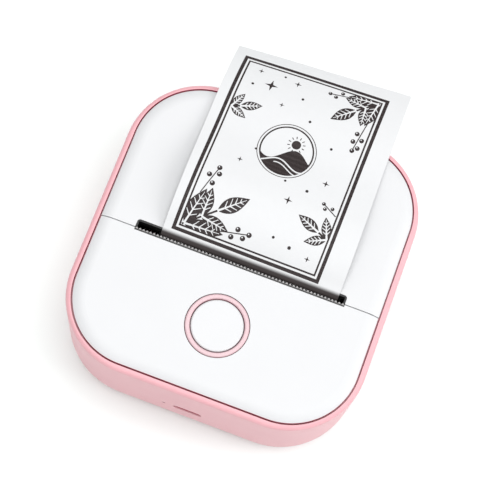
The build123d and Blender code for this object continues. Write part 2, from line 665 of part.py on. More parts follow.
# spring clips that keep both gears on their posts
with BuildPart() as gear_clips:
    for x, y, z in ((-37.05, IDLER_Y, IDLER_Z), (-39.35, COMP_Y, COMP_Z)):
        with BuildSketch(Plane.YZ.offset(x)):
            with Locations((y, z)):
                Circle(2.1)
                Circle(POST_R + 0.02, mode=Mode.SUBTRACT)
                with Locations((0, -1.6)):
                    Rectangle(1.2, 1.8, mode=Mode.SUBTRACT)
        extrude(amount=0.35)
gear_clips.part.label = "gear_clips"
export_step(gear_clips.part, "parts/gear_clips.step")

with BuildPart() as paper_sensor:
    with BuildSketch(Plane.YZ.offset(-22.0)):
        with Locations((-8.2, 22.0)):
            RectangleRounded(2.4, 3.0, 0.3)
    extrude(amount=4.0)
paper_sensor.part.label = "paper_sensor"
export_step(paper_sensor.part, "parts/paper_sensor.step")

# ---------------------------------------------------------------------------
# Platen, carried by the cover
# ---------------------------------------------------------------------------

ARM_L, ARM_R = (-33.0, -31.4), (31.4, 33.0)
LINER_T, LINER_Z0, LINER_Z1 = 0.5, 34.2, 37.0
with BuildPart() as cover_frame:
    with BuildSketch(Plane.XY.offset(31.9)):
        with Locations((0, 9.0)):
            Rectangle(66.0, 8.0)
        with Locations(*COVER_SCREWS):
            Circle(0.9, mode=Mode.SUBTRACT)
    extrude(amount=1.3)
    for x0, x1 in (ARM_L, ARM_R):
        with BuildSketch(Plane.YZ.offset(x0)):
            with BuildLine():
                Polyline(
                    (-3.0, 29.0), (-1.5, 27.2), (2.5, 27.2), (6.0, 30.0), (8.5, 31.9), (8.5, 33.2),
                    (4.0, 35.3), (-1.2, 35.3), (-3.0, 33.0), close=True,
                )
            make_face()
            with Locations((PLATEN_Y, PLATEN_Z)):
                Circle(2.52, mode=Mode.SUBTRACT)
        extrude(amount=x1 - x0)
    # black lining of the slot: along its rear edge and round both ends
    with BuildSketch(Plane.XY.offset(LINER_Z0)):
        with Locations(((SLOT_X0 + SLOT_X1) / 2, SLOT_Y1 - 0.05 - 2.2)):
            RectangleRounded(SLOT_X1 - SLOT_X0 - 0.1, 4.4, 0.85)
        with Locations(((SLOT_X0 + SLOT_X1) / 2, SLOT_Y1 - 0.05 - LINER_T - 3.0)):
            Rectangle(SLOT_X1 - SLOT_X0 - 0.1 - 2 * LINER_T, 6.0, mode=Mode.SUBTRACT)
        with Locations((0, COVER_EDGE_Y + 0.1 - 5.0)):
            Rectangle(80, 10, mode=Mode.SUBTRACT)
    extrude(amount=LINER_Z1 - LINER_Z0)
    # lugs from the arms to the lining, under the cover
    for x0, x1 in ((ARM_L[0], SLOT_X0 + 0.05 + LINER_T), (SLOT_X1 - 0.05 - LINER_T, ARM_R[1])):
        with BuildSketch(Plane.XY.offset(LINER_Z0)):
            with Locations(((x0 + x1) / 2, (COVER_EDGE_Y + 0.1 + SLOT_Y1 - 0.05) / 2)):
                Rectangle(x1 - x0, SLOT_Y1 - 0.05 - COVER_EDGE_Y - 0.1)
        extrude(amount=PLATE_Z - 0.1 - LINER_Z0)
cover_frame.part.label = "cover_frame"
export_step(cover_frame.part, "parts/cover_frame.step")

with BuildPart() as cover_screws:
    with BuildSketch(Plane.XY.offset(30.8)):
        with Locations(*COVER_SCREWS):
            Circle(1.5)
    extrude(amount=1.08)
    with BuildSketch(Plane.XY.offset(31.5)):
        with Locations(*COVER_SCREWS):
            Circle(0.7)
    extrude(amount=3.7)
    with BuildSketch(Plane.XY.offset(30.8)):
        with Locations(*COVER_SCREWS):
            Rectangle(1.8, 0.35)
            Rectangle(0.35, 1.8)
    extrude(amount=0.55, mode=Mode.SUBTRACT)
cover_screws.part.label = "cover_screws"
export_step(cover_screws.part, "parts/cover_screws.step")

# bushes in the arms, with a flange and a sleeve that covers the shaft up to the rubber
with BuildPart() as platen_bushes:
    for x0, x1, flange, sleeve, length in (
        (ARM_L[0], ARM_L[1], ARM_L[1], ARM_L[1], 6.1), (ARM_R[0], ARM_R[1], ARM_R[0] - 0.6, 30.3, 1.1),
    ):
        with BuildSketch(Plane.YZ.offset(x0)):
            with Locations((PLATEN_Y, PLATEN_Z)):
                Circle(2.5)
        extrude(amount=x1 - x0)
        with BuildSketch(Plane.YZ.offset(flange)):
            with Locations((PLATEN_Y, PLATEN_Z)):
                Circle(3.2)
        extrude(amount=0.6)
        with BuildSketch(Plane.YZ.offset(sleeve)):
            with Locations((PLATEN_Y, PLATEN_Z)):
                Circle(2.3)
        extrude(amount=length)
        with BuildSketch(Plane.YZ.offset(x0 - 6)):
            with Locations((PLATEN_Y, PLATEN_Z)):
                Circle(SHAFT_R + 0.05)
        extrude(amount=16, mode=Mode.SUBTRACT)
platen_bushes.part.label = "platen_bushes"
export_step(platen_bushes.part, "parts/platen_bushes.step")

with BuildPart() as platen_shaft:
    with BuildSketch(Plane.YZ.offset(-36.8)):
        with Locations((PLATEN_Y, PLATEN_Z)):
            Circle(SHAFT_R)
    extrude(amount=36.8 + 34.8)
    chamfer(platen_shaft.faces().sort_by(Axis.X)[-1].edges(), 0.3)
    # flat that the gear keys on
    with BuildSketch(Plane.YZ.offset(-37)):
        with Locations((PLATEN_Y, PLATEN_Z + 2.15)):
            Rectangle(4.0, 2.0)
    extrude(amount=2.5, mode=Mode.SUBTRACT)
platen_shaft.part.label = "platen_shaft"
export_step(platen_shaft.part, "parts/platen_shaft.step")

with BuildPart() as platen_rubber:
    with BuildSketch(Plane.YZ.offset(-24.9)):
        with Locations((PLATEN_Y, PLATEN_Z)):
            Circle(PLATEN_R)
            Circle(SHAFT_R, mode=Mode.SUBTRACT)
    extrude(amount=54.8)
    fillet(platen_rubber.edges().filter_by(GeomType.CIRCLE).sort_by(SortBy.LENGTH)[-2:], 0.4)
platen_rubber.part.label = "platen_rubber"
export_step(platen_rubber.part, "parts/platen_rubber.step")

with BuildPart() as platen_gear:
    with BuildSketch(Plane.YZ.offset(LAYER_A[0])):
        with BuildLine():
            Polyline(*gear_points(T_PLATEN, PLATEN_Y, PLATEN_Z, PH_PLATEN), close=True)
        make_face()
        with Locations((PLATEN_Y, PLATEN_Z)):
            Circle(SHAFT_R, mode=Mode.SUBTRACT)
    extrude(amount=LAYER_A[1] - LAYER_A[0])
platen_gear.part.label = "platen_gear"
export_step(platen_gear.part, "parts/platen_gear.step")

# ---------------------------------------------------------------------------
# Paper: cradle, roll, the leg inside and the strip that has come out
# ---------------------------------------------------------------------------

CR_I, CR_O = ROLL_R + 0.45, ROLL_R + 1.6
with BuildPart() as roll_cradle:
    # trough under the roll
    with BuildSketch(Plane.YZ.offset(-26.2)):
        with BuildLine():
            a0, am, a1 = radians(240), radians(298), radians(356)
            outer = ThreePointArc(*[(ROLL_Y + CR_O * cos(a), ROLL_Z + CR_O * sin(a)) for a in (a0, am, a1)])
            inner = ThreePointArc(*[(ROLL_Y + CR_I * cos(a), ROLL_Z + CR_I * sin(a)) for a in (a0, am, a1)])
            Line(outer @ 0, inner @ 0)
            Line(outer @ 1, inner @ 1)
        make_face()
    extrude(amount=26.2 + 31.2)
    # side cheeks
    for x0 in (-26.2, 30.2):
        with BuildSketch(Plane.YZ.offset(x0)):
            with BuildLine():
                Polyline(
                    (9.0, 3.3), (29.0, 3.3), (33.4, 9.0), (33.4, 24.0), (29.0, 27.0), (11.0, 27.0),
                    (8.6, 24.0), (8.6, 5.0), close=True,
                )
            make_face()
        extrude(amount=1.0)
    # tabs that sit on the base's rear posts
    with BuildSketch(Plane.XY.offset(12.05)):
        with Locations((33.3, 18.0)):
            Rectangle(5.4, 5.6)
        with Locations((-31.1, 18.0)):
            Rectangle(10.0, 5.6)
        with Locations(*REAR_POSTS):
            Circle(0.9, mode=Mode.SUBTRACT)
    extrude(amount=3.4)
roll_cradle.part.label = "roll_cradle"
export_step(roll_cradle.part, "parts/roll_cradle.step")

with BuildPart() as roll_core:
    with BuildSketch(Plane.YZ.offset(PAPER_X0 - 0.2)):
        with Locations((ROLL_Y, ROLL_Z)):
            Circle(CORE_RO)
            Circle(CORE_RI, mode=Mode.SUBTRACT)
    extrude(amount=PAPER_X1 - PAPER_X0 + 0.4)
roll_core.part.label = "roll_core"
export_step(roll_core.part, "parts/roll_core.step")

with BuildPart() as paper_roll:
    with BuildSketch(Plane.YZ.offset(PAPER_X0)):
        with Locations((ROLL_Y, ROLL_Z)):
            Circle(ROLL_R)
            Circle(CORE_RO + 0.02, mode=Mode.SUBTRACT)
    extrude(amount=PAPER_X1 - PAPER_X0)
    fillet(paper_roll.edges().filter_by(GeomType.CIRCLE).sort_by(SortBy.LENGTH)[-2:], 0.15)
paper_roll.part.label = "paper_roll"
export_step(paper_roll.part, "parts/paper_roll.step")

# from the roll, round the front of the platen, up into the slot
R1, R2 = ROLL_R + 0.35, PLATEN_R + 0.20
DY, DZ = PLATEN_Y - ROLL_Y, PLATEN_Z - ROLL_Z
TANGENT = atan2(DZ, DY) + acos((R1 - R2) / hypot(DY, DZ))
leg_path = [(ROLL_Y + R1 * cos(TANGENT), ROLL_Z + R1 * sin(TANGENT))]
for k in range(7):
    a = TANGENT + (radians(174) - TANGENT % (2 * pi)) * k / 6
    leg_path.append((PLATEN_Y + R2 * cos(a), PLATEN_Z + R2 * sin(a)))
leg_path.append((-4.0, 36.15))
leg_a, leg_b = ribbon(leg_path, 0.05)
with BuildPart() as paper_leg:
    with BuildSketch(Plane.YZ.offset(PAPER_X0)):
        with BuildLine():
            Polyline(*(leg_a + leg_b[::-1]), close=True)
        make_face()
    extrude(amount=PAPER_X1 - PAPER_X0)
paper_leg.part.label = "paper_leg"
export_step(paper_leg.part, "parts/paper_leg.step")

# the printed strip: out of the slot, an arch over the cover, past the rear edge
strip_path = [
    (-4.02, 36.35), (-3.85, 36.95), (-2.6, 37.75), (-0.6, 38.55), (2.6, 40.0), (6.5, 41.15), (12.0, 41.8),
    (16.5, 41.75), (21.0, 41.05), (26.5, 39.9), (32.0, 38.9), (38.5, 38.35), (43.4, 37.85),
    (48.0, 36.9), (53.0, 35.2), (58.0, 32.8), (62.0, 30.2),
]
strip_a, strip_b = ribbon(strip_path, 0.07)
with BuildPart() as print_strip:
    with BuildSketch(Plane.YZ.offset(PAPER_X0)):
        with BuildLine():
            top_line = Spline(*strip_a)
            low_line = Spline(*strip_b)
            Line(top_line @ 0, low_line @ 0)
            Line(top_line @ 1, low_line @ 1)
        make_face()
    extrude(amount=PAPER_X1 - PAPER_X0)
    # the end is torn a little askew
    with BuildSketch(Plane.XY.offset(20)):
        with BuildLine():
            Polyline((-40, 57.15), (45, 62.95), (45, 75), (-40, 75), close=True)
        make_face()
    extrude(amount=30, mode=Mode.SUBTRACT)
print_strip.part.label = "print_strip"
export_step(print_strip.part, "parts/print_strip.step")
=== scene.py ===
import bpy
import bmesh
import math
import random
from bisect import bisect_right
from math import pi, sin, cos, hypot, radians
from mathutils import Matrix, Vector


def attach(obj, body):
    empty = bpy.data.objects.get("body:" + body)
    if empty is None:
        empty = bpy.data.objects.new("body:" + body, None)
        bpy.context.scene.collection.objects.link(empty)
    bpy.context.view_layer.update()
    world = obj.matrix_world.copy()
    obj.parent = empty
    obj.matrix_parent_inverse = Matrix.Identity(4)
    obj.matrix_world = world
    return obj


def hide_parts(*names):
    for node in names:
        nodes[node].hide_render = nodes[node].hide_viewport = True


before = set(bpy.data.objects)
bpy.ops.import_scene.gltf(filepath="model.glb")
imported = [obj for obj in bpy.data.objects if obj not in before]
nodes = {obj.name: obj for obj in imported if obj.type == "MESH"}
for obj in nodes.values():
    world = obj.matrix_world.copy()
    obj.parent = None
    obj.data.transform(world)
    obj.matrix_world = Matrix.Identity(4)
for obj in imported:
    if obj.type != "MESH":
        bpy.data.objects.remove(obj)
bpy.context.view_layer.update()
MM = 0.001
scene = bpy.context.scene


# ---------------------------------------------------------------------------
# Materials
# ---------------------------------------------------------------------------

def lin(r, g, b):
    """sRGB 0-255 to linear."""
    out = []
    for v in (r, g, b):
        v = v / 255
        out.append(v / 12.92 if v <= 0.04045 else ((v + 0.055) / 1.055) ** 2.4)
    return (*out, 1.0)


def scaled(colour, k):
    return (*(min(1.0, v * k) for v in colour[:3]), 1.0)


class Mat:
    """A node material on a Principled shader, with procedural detail added step by step."""

    def __init__(self, name, base, rough=0.5, metallic=0.0, spec=0.5, **extra):
        self.m = bpy.data.materials.new(name)
        self.m.use_nodes = True
        self.nt = self.m.node_tree
        self.nt.nodes.clear()
        out = self.nt.nodes.new("ShaderNodeOutputMaterial")
        self.b = self.nt.nodes.new("ShaderNodeBsdfPrincipled")
        self.nt.links.new(self.b.outputs[0], out.inputs[0])
        self.b.inputs["Base Color"].default_value = base
        self.b.inputs["Roughness"].default_value = rough
        self.b.inputs["Metallic"].default_value = metallic
        self.b.inputs["Specular IOR Level"].default_value = spec
        for key, value in extra.items():
            self.b.inputs[key.replace("_", " ")].default_value = value
        self.base = base
        self.coord = self.nt.nodes.new("ShaderNodeTexCoord")
        self.last_normal = None

    def node(self, kind, **props):
        n = self.nt.nodes.new(kind)
        for k, v in props.items():
            setattr(n, k, v)
        return n

    def link(self, a, b):
        self.nt.links.new(a, b)

    def mapped(self, scale=(1, 1, 1), source="Object", loc=(0, 0, 0)):
        mp = self.node("ShaderNodeMapping")
        mp.inputs["Scale"].default_value = scale
        mp.inputs["Location"].default_value = loc
        self.link(self.coord.outputs[source], mp.inputs["Vector"])
        return mp.outputs["Vector"]

    def noise(self, scale, detail=3.0, rough=0.55, stretch=(1, 1, 1), source="Object"):
        n = self.node("ShaderNodeTexNoise")
        n.inputs["Scale"].default_value = scale
        n.inputs["Detail"].default_value = detail
        n.inputs["Roughness"].default_value = rough
        self.link(self.mapped(stretch, source), n.inputs["Vector"])
        return n.outputs["Fac"]

    def ramp(self, fac, stops):
        r = self.node("ShaderNodeValToRGB")
        els = r.color_ramp.elements
        while len(els) > len(stops):
            els.remove(els[-1])
        while len(els) < len(stops):
            els.new(0.5)
        for e, (p, c) in zip(els, stops):
            e.position = p
            e.color = c
        self.link(fac, r.inputs["Fac"])
        return r.outputs["Color"]

    def colour_noise(self, a, b, scale, detail=3.0, lo=0.35, hi=0.65, stretch=(1, 1, 1)):
        self.link(self.ramp(self.noise(scale, detail, stretch=stretch), [(lo, a), (hi, b)]), self.b.inputs["Base Color"])
        return self

    def rough_noise(self, lo, hi, scale, stretch=(1, 1, 1)):
        mr = self.node("ShaderNodeMapRange")
        mr.inputs["To Min"].default_value = lo
        mr.inputs["To Max"].default_value = hi
        self.link(self.noise(scale, 2.0, stretch=stretch), mr.inputs["Value"])
        self.link(mr.outputs[0], self.b.inputs["Roughness"])
        return self

    def bump(self, height, distance_mm, strength=1.0):
        bp = self.node("ShaderNodeBump")
        bp.inputs["Strength"].default_value = strength
        bp.inputs["Distance"].default_value = distance_mm * MM
        self.link(height, bp.inputs["Height"])
        if self.last_normal is not None:
            self.link(self.last_normal, bp.inputs["Normal"])
        self.last_normal = bp.outputs["Normal"]
        self.link(self.last_normal, self.b.inputs["Normal"])
        return self

    def noise_bump(self, scale, distance_mm, strength=1.0, detail=2.0, stretch=(1, 1, 1)):
        return self.bump(self.noise(scale, detail, stretch=stretch), distance_mm, strength)


def maths(m, op, a, b=None):
    """One maths node; a and b are sockets or numbers."""
    n = m.node("ShaderNodeMath", operation=op)
    for i, v in enumerate((a, b)):
        if v is None:
            continue
        if isinstance(v, (int, float)):
            n.inputs[i].default_value = v
        else:
            m.link(v, n.inputs[i])
    return n.outputs[0]


def axes(m):
    sep = m.node("ShaderNodeSeparateXYZ")
    m.link(m.coord.outputs["Object"], sep.inputs[0])
    return sep.outputs["X"], sep.outputs["Y"], sep.outputs["Z"]


def between(m, value, lo, hi):
    return maths(m, "MULTIPLY", maths(m, "GREATER_THAN", value, lo * MM), maths(m, "LESS_THAN", value, hi * MM))


def tint_where(m, mask, colour):
    """Mix a second colour in where the mask is 1."""
    old = m.b.inputs["Base Color"].links[0].from_socket
    mix = m.node("ShaderNodeMix", data_type="RGBA")
    mix.inputs["B"].default_value = colour
    m.link(mask, mix.inputs["Factor"])
    m.link(old, mix.inputs["A"])
    m.link(mix.outputs["Result"], m.b.inputs["Base Color"])


def moulded(name, colour, rough, grain=2600, grain_mm=0.006, tint=0.985, spec=0.45, keep=False):
    """Moulded plastic: a fine spark-eroded grain, a little mottling in colour and gloss."""
    m = Mat(name, colour, rough, spec=spec)
    m.colour_noise(scaled(colour, tint), colour, 55, 4.0)
    m.rough_noise(rough - 0.05, rough + 0.06, 140)
    m.noise_bump(grain, grain_mm, 0.6, 3.0)
    m.noise_bump(30, 0.02, 0.25, 1.0)
    return m if keep else m.m


def metal(name, colour, rough, stretch=(40, 1, 1), scale=400, bump=0.004):
    """Metal with fine drawing lines along one direction."""
    m = Mat(name, colour, rough, metallic=1.0)
    m.colour_noise(scaled(colour, 0.82), colour, scale, 4.0, stretch=stretch)
    m.rough_noise(rough - 0.08, rough + 0.1, scale * 0.8, stretch=stretch)
    m.noise_bump(scale, bump, 0.5, 3.0, stretch=stretch)
    return m.m


PINK = (0.728, 0.384, 0.420, 1.0)
WHITE = (0.645, 0.651, 0.662, 1.0)
RING = (0.660, 0.470, 0.500, 1.0)

PAINTED_GLOW_AND_SHADE = (0.50, 0.055, 0.105, 1.0)        # painted glow of light passed through pink plastic in its gaps, also used as painted shade in the openings

# casing: pink, with a painted glow in the gap inside the rim and painted shade in the openings of the front wall
_m = moulded("moulded_pink", PINK, 0.42, keep=True)
_x, _y, _z = axes(_m)
_qx = maths(_m, "SUBTRACT", maths(_m, "ABSOLUTE", _x), (41.80 - 20.1) * MM)
_qy = maths(_m, "SUBTRACT", maths(_m, "ABSOLUTE", _y), (42.69 - 20.1) * MM)
_qx0, _qy0 = maths(_m, "MAXIMUM", _qx, 0.0), maths(_m, "MAXIMUM", _qy, 0.0)
_len = maths(_m, "SQRT", maths(_m, "ADD", maths(_m, "MULTIPLY", _qx0, _qx0), maths(_m, "MULTIPLY", _qy0, _qy0)))
_sd = maths(_m, "SUBTRACT", _len, 20.1 * MM)
_painted_glow_gap = maths(_m, "MULTIPLY", maths(_m, "LESS_THAN", _sd, 0.05 * MM), between(_m, _z, 34.8, 35.97))
_painted_shade_slit = maths(_m, "MULTIPLY", maths(_m, "MULTIPLY", between(_m, _y, -44.0, -42.6), between(_m, _x, -4.4, 4.6)), between(_m, _z, 14.5, 18.3))
_painted_shade_hole = maths(_m, "MULTIPLY", maths(_m, "MULTIPLY", between(_m, _y, -44.25, -42.6), between(_m, _x, -8.0, -6.2)), between(_m, _z, 15.3, 17.1))
# painted glow in the rim gap, painted shade in the slit and the hole
tint_where(_m, maths(_m, "MAXIMUM", _painted_glow_gap, maths(_m, "MAXIMUM", _painted_shade_slit, _painted_shade_hole)), PAINTED_GLOW_AND_SHADE)
mat_shell = _m.m
mat_white = moulded("moulded_white", WHITE, 0.46, tint=0.992)
# the front panel's own copy, with pink light from the casing painted on its side in the gap
_m = moulded("moulded_white_front", WHITE, 0.46, tint=0.992, keep=True)
_x, _y, _z = axes(_m)
_qx = maths(_m, "MAXIMUM", maths(_m, "SUBTRACT", maths(_m, "ABSOLUTE", _x), (41.36 - 19.7) * MM), 0.0)
_qy = maths(_m, "MAXIMUM", maths(_m, "SUBTRACT", maths(_m, "ABSOLUTE", _y), (42.22 - 19.7) * MM), 0.0)
_len = maths(_m, "SQRT", maths(_m, "ADD", maths(_m, "MULTIPLY", _qx, _qx), maths(_m, "MULTIPLY", _qy, _qy)))
_painted_light_edge = maths(_m, "GREATER_THAN", _len, (19.7 - 0.06) * MM)
# painted pink reflected light on the panel's side faces in the gap
tint_where(_m, maths(_m, "MULTIPLY", _painted_light_edge, between(_m, _z, 33.0, 36.3)), (0.50, 0.10, 0.15, 1.0))
mat_white_front = _m.m
mat_cap = moulded("moulded_white_cap", scaled(WHITE, 0.995), 0.40, grain=3400, grain_mm=0.004, tint=0.992)
_m = moulded("moulded_pink_ring", RING, 0.32, grain=3600, grain_mm=0.003, keep=True)
_x, _y, _z = axes(_m)
_dx, _dy = maths(_m, "SUBTRACT", _x, 0.1 * MM), maths(_m, "SUBTRACT", _y, -22.83 * MM)
_r = maths(_m, "SQRT", maths(_m, "ADD", maths(_m, "MULTIPLY", _dx, _dx), maths(_m, "MULTIPLY", _dy, _dy)))
_painted_gap_side = maths(_m, "MAXIMUM", maths(_m, "LESS_THAN", _r, 7.66 * MM), maths(_m, "GREATER_THAN", _r, 8.93 * MM))
# painted shade with a pink glow on the ring's side walls, in its gaps to the panel and the cap
tint_where(_m, maths(_m, "MULTIPLY", _painted_gap_side, maths(_m, "LESS_THAN", _z, 37.08 * MM)), (0.62, 0.33, 0.37, 1.0))
mat_ring = _m.m
mat_black = moulded("moulded_black", (0.012, 0.012, 0.013, 1), 0.48, grain=1800, grain_mm=0.01, tint=0.7)
mat_grey = moulded("moulded_grey", (0.17, 0.17, 0.18, 1), 0.55, grain=1500, grain_mm=0.012, tint=0.85)
mat_acetal = moulded("moulded_acetal", (0.72, 0.71, 0.67, 1), 0.38, grain=2000, grain_mm=0.004, tint=0.95)
mat_foot = moulded("rubber_foot", (0.09, 0.09, 0.10, 1), 0.86, grain=900, grain_mm=0.03, tint=0.75, spec=0.25)
mat_platen = moulded("rubber_platen", (0.014, 0.014, 0.015, 1), 0.78, grain=1400, grain_mm=0.012, tint=0.7, spec=0.3)
mat_screw = metal("steel_black_screw", (0.12, 0.12, 0.125, 1), 0.42, stretch=(1, 1, 1), scale=900)
mat_shaft = metal("steel_ground", (0.55, 0.55, 0.56, 1), 0.26, stretch=(1, 30, 30), scale=300)
mat_spring = metal("steel_spring", (0.45, 0.45, 0.46, 1), 0.33, stretch=(1, 20, 20), scale=260)
mat_motor = metal("steel_plated", (0.60, 0.60, 0.60, 1), 0.38, stretch=(1, 6, 6), scale=220)
mat_heat = metal("aluminium_bare", (0.66, 0.67, 0.68, 1), 0.36, stretch=(1, 25, 25), scale=320)
mat_socket = metal("steel_bright", (0.66, 0.66, 0.66, 1), 0.22, stretch=(10, 1, 10), scale=300, bump=0.002)
mat_head = moulded("ceramic_head", (0.42, 0.40, 0.34, 1), 0.22, grain=800, grain_mm=0.002, tint=0.9)
mat_chip = moulded("moulded_chip", (0.022, 0.022, 0.024, 1), 0.5, grain=3000, grain_mm=0.006, tint=0.7)
mat_lens = moulded("clear_light_guide", (0.40, 0.13, 0.17, 1), 0.2, grain=600, grain_mm=0.001, tint=0.95)
mat_core = moulded("core_board", (0.36, 0.27, 0.18, 1), 0.85, grain=700, grain_mm=0.03, tint=0.8, spec=0.2)
mat_cable = moulded("film_amber", (0.42, 0.19, 0.03, 1), 0.3, grain=500, grain_mm=0.003, tint=0.85)

# circuit board: solder mask with rows of fine traces and dull copper showing through it
_m = Mat("board_solder_mask", (0.012, 0.10, 0.045, 1), 0.34)
_br = _m.node("ShaderNodeTexBrick")
_br.inputs["Scale"].default_value = 420
_br.inputs["Mortar Size"].default_value = 0.035
_br.inputs["Color1"].default_value = (0.010, 0.085, 0.040, 1)
_br.inputs["Color2"].default_value = (0.014, 0.105, 0.050, 1)
_br.inputs["Mortar"].default_value = (0.04, 0.22, 0.09, 1)
_m.link(_m.mapped((1, 1, 1)), _br.inputs["Vector"])
_m.link(_br.outputs["Color"], _m.b.inputs["Base Color"])
_m.bump(_br.outputs["Fac"], 0.02, 0.6)
mat_board = _m.m

# pouch cell: crinkled foil
_m = Mat("cell_foil", (0.58, 0.59, 0.61, 1), 0.34, metallic=0.85)
_m.colour_noise((0.50, 0.51, 0.53, 1), (0.62, 0.63, 0.65, 1), 120, 3.0)
_vo = _m.node("ShaderNodeTexVoronoi", feature="DISTANCE_TO_EDGE")
_vo.inputs["Scale"].default_value = 220
_m.link(_m.mapped(), _vo.inputs["Vector"])
_m.bump(_vo.outputs["Distance"], 0.06, 0.5)
mat_cell = _m.m


def paper_material(name, band=False, rings=False):
    """Thermal paper: soft sheen, fine fibres. band adds painted shade, dark where the strip goes down into the slot."""
    white = (0.660, 0.667, 0.676, 1)
    m = Mat(name, white, 0.50, spec=0.35)
    fibre = m.ramp(m.noise(520, 5.0), [(0.3, scaled(white, 0.985)), (0.7, white)])
    if rings:
        sep = m.node("ShaderNodeSeparateXYZ")
        m.link(m.coord.outputs["Object"], sep.inputs[0])
        dy = m.node("ShaderNodeMath", operation="SUBTRACT")
        dy.inputs[1].default_value = 0.019
        dz = m.node("ShaderNodeMath", operation="SUBTRACT")
        dz.inputs[1].default_value = 0.0178
        m.link(sep.outputs["Y"], dy.inputs[0])
        m.link(sep.outputs["Z"], dz.inputs[0])
        com = m.node("ShaderNodeCombineXYZ")
        m.link(dy.outputs[0], com.inputs[0])
        m.link(dz.outputs[0], com.inputs[1])
        ln = m.node("ShaderNodeVectorMath", operation="LENGTH")
        m.link(com.outputs[0], ln.inputs[0])
        wv = m.node("ShaderNodeMath", operation="MULTIPLY")
        wv.inputs[1].default_value = 21000.0
        m.link(ln.outputs["Value"], wv.inputs[0])
        sn = m.node("ShaderNodeMath", operation="SINE")
        m.link(wv.outputs[0], sn.inputs[0])
        mr = m.node("ShaderNodeMapRange")
        mr.inputs["From Min"].default_value = -1.0
        mr.inputs["To Min"].default_value = 0.0
        m.link(sn.outputs[0], mr.inputs["Value"])
        fibre = m.ramp(mr.outputs[0], [(0.0, scaled(white, 0.80)), (0.6, white)])
    # painted shade: dark where the strip goes down into the slot, fading out up the strip
    if band:
        uv = m.node("ShaderNodeSeparateXYZ")
        m.link(m.coord.outputs["UV"], uv.inputs[0])
        mr = m.node("ShaderNodeMapRange", interpolation_type="SMOOTHSTEP")
        mr.inputs["From Min"].default_value = BAND[0]
        mr.inputs["From Max"].default_value = BAND[1]
        m.link(uv.outputs["Y"], mr.inputs["Value"])
        mix = m.node("ShaderNodeMix", data_type="RGBA")
        mix.inputs["A"].default_value = (0.028, 0.021, 0.021, 1)
        m.link(mr.outputs[0], mix.inputs["Factor"])
        m.link(fibre, mix.inputs["B"])
        fibre = mix.outputs["Result"]
    m.link(fibre, m.b.inputs["Base Color"])
    m.noise_bump(900, 0.006, 0.5, 4.0)
    m.noise_bump(45, 0.03, 0.3, 1.0)
    return m.m


BAND = (1.55, 3.0)      # where the painted shade at the slot fades out, mm along the strip
mat_paper = paper_material("thermal_paper")
mat_strip = paper_material("thermal_paper_strip", band=True)
mat_roll = paper_material("thermal_paper_roll", rings=True)

# thermal print: charcoal, laid down in fine dots
_m = Mat("thermal_print", (0.030, 0.022, 0.022, 1), 0.50, spec=0.2)
_vo = _m.node("ShaderNodeTexVoronoi", feature="F1")
_vo.inputs["Scale"].default_value = 3600
_vo.inputs["Randomness"].default_value = 0.25
_m.link(_m.mapped(), _vo.inputs["Vector"])
_m.link(_m.ramp(_vo.outputs["Distance"], [(0.35, (0.018, 0.012, 0.012, 1)), (0.75, (0.050, 0.040, 0.040, 1))]),
        _m.b.inputs["Base Color"])
mat_ink = _m.m

# tear bar: black, with painted glints on the tips of its stamped teeth
_m = Mat("tear_bar_black", (0.012, 0.011, 0.011, 1), 0.40)
_sep = _m.node("ShaderNodeSeparateXYZ")
_m.link(_m.coord.outputs["Object"], _sep.inputs[0])
_painted_glint_mask = _m.node("ShaderNodeMapRange")
_painted_glint_mask.inputs["From Min"].default_value = -0.00474
_painted_glint_mask.inputs["From Max"].default_value = -0.00470
_m.link(_sep.outputs["Y"], _painted_glint_mask.inputs["Value"])
_painted_glint_mix = _m.node("ShaderNodeMix", data_type="RGBA")
_painted_glint_mix.inputs["A"].default_value = (0.012, 0.011, 0.011, 1)
# painted glint colour on the teeth
_painted_glint_mix.inputs["B"].default_value = (0.34, 0.33, 0.33, 1)
_m.link(_painted_glint_mask.outputs[0], _painted_glint_mix.inputs["Factor"])
_m.link(_painted_glint_mix.outputs["Result"], _m.b.inputs["Base Color"])
_m.noise_bump(1500, 0.006, 0.6, 3.0)
mat_tear = _m.m

CARRIED = {
    "base_shell": mat_shell, "front_panel": mat_white_front, "rear_cover": mat_white, "button_ring": mat_ring,
    "button_cap": mat_cap, "tear_bar": mat_tear, "foot_ring": mat_foot, "case_screws": mat_screw,
    "hinge_pin": mat_shaft, "main_board": mat_board, "board_parts": mat_chip, "usb_socket": mat_socket,
    "tact_switch": mat_chip, "status_light": mat_lens, "battery_pack": mat_cell, "mechanism_frame": mat_black,
    "gear_plate": mat_motor, "head_board": mat_head, "heat_sink": mat_heat, "head_spring": mat_spring,
    "head_cable": mat_cable, "stepper_motor": mat_motor, "motor_pinion": mat_acetal, "compound_gear": mat_acetal,
    "idler_gear": mat_acetal, "gear_clips": mat_spring, "paper_sensor": mat_chip, "cover_frame": mat_black,
    "cover_screws": mat_screw, "platen_bushes": mat_black, "platen_shaft": mat_shaft, "platen_rubber": mat_platen,
    "platen_gear": mat_acetal, "roll_cradle": mat_grey, "roll_core": mat_core, "paper_roll": mat_roll,
    "paper_leg": mat_paper, "print_strip": mat_strip,
}
for name, mat in CARRIED.items():
    o = nodes[name]
    o.data.materials.clear()
    o.data.materials.append(mat)

# ---------------------------------------------------------------------------
# The strip of paper that has come out, and its print
# ---------------------------------------------------------------------------

STRIP_PATH = [
    (-4.02, 36.35), (-3.85, 36.95), (-2.6, 37.75), (-0.6, 38.55), (2.6, 40.0), (6.5, 41.15), (12.0, 41.8),
    (16.5, 41.75), (21.0, 41.05), (26.5, 39.9), (32.0, 38.9), (38.5, 38.35), (43.4, 37.85),
    (48.0, 36.9), (53.0, 35.2), (58.0, 32.8), (62.0, 30.2), (64.0, 28.6), (65.6, 27.2),
]
PX0, PX1 = -23.85, 28.82


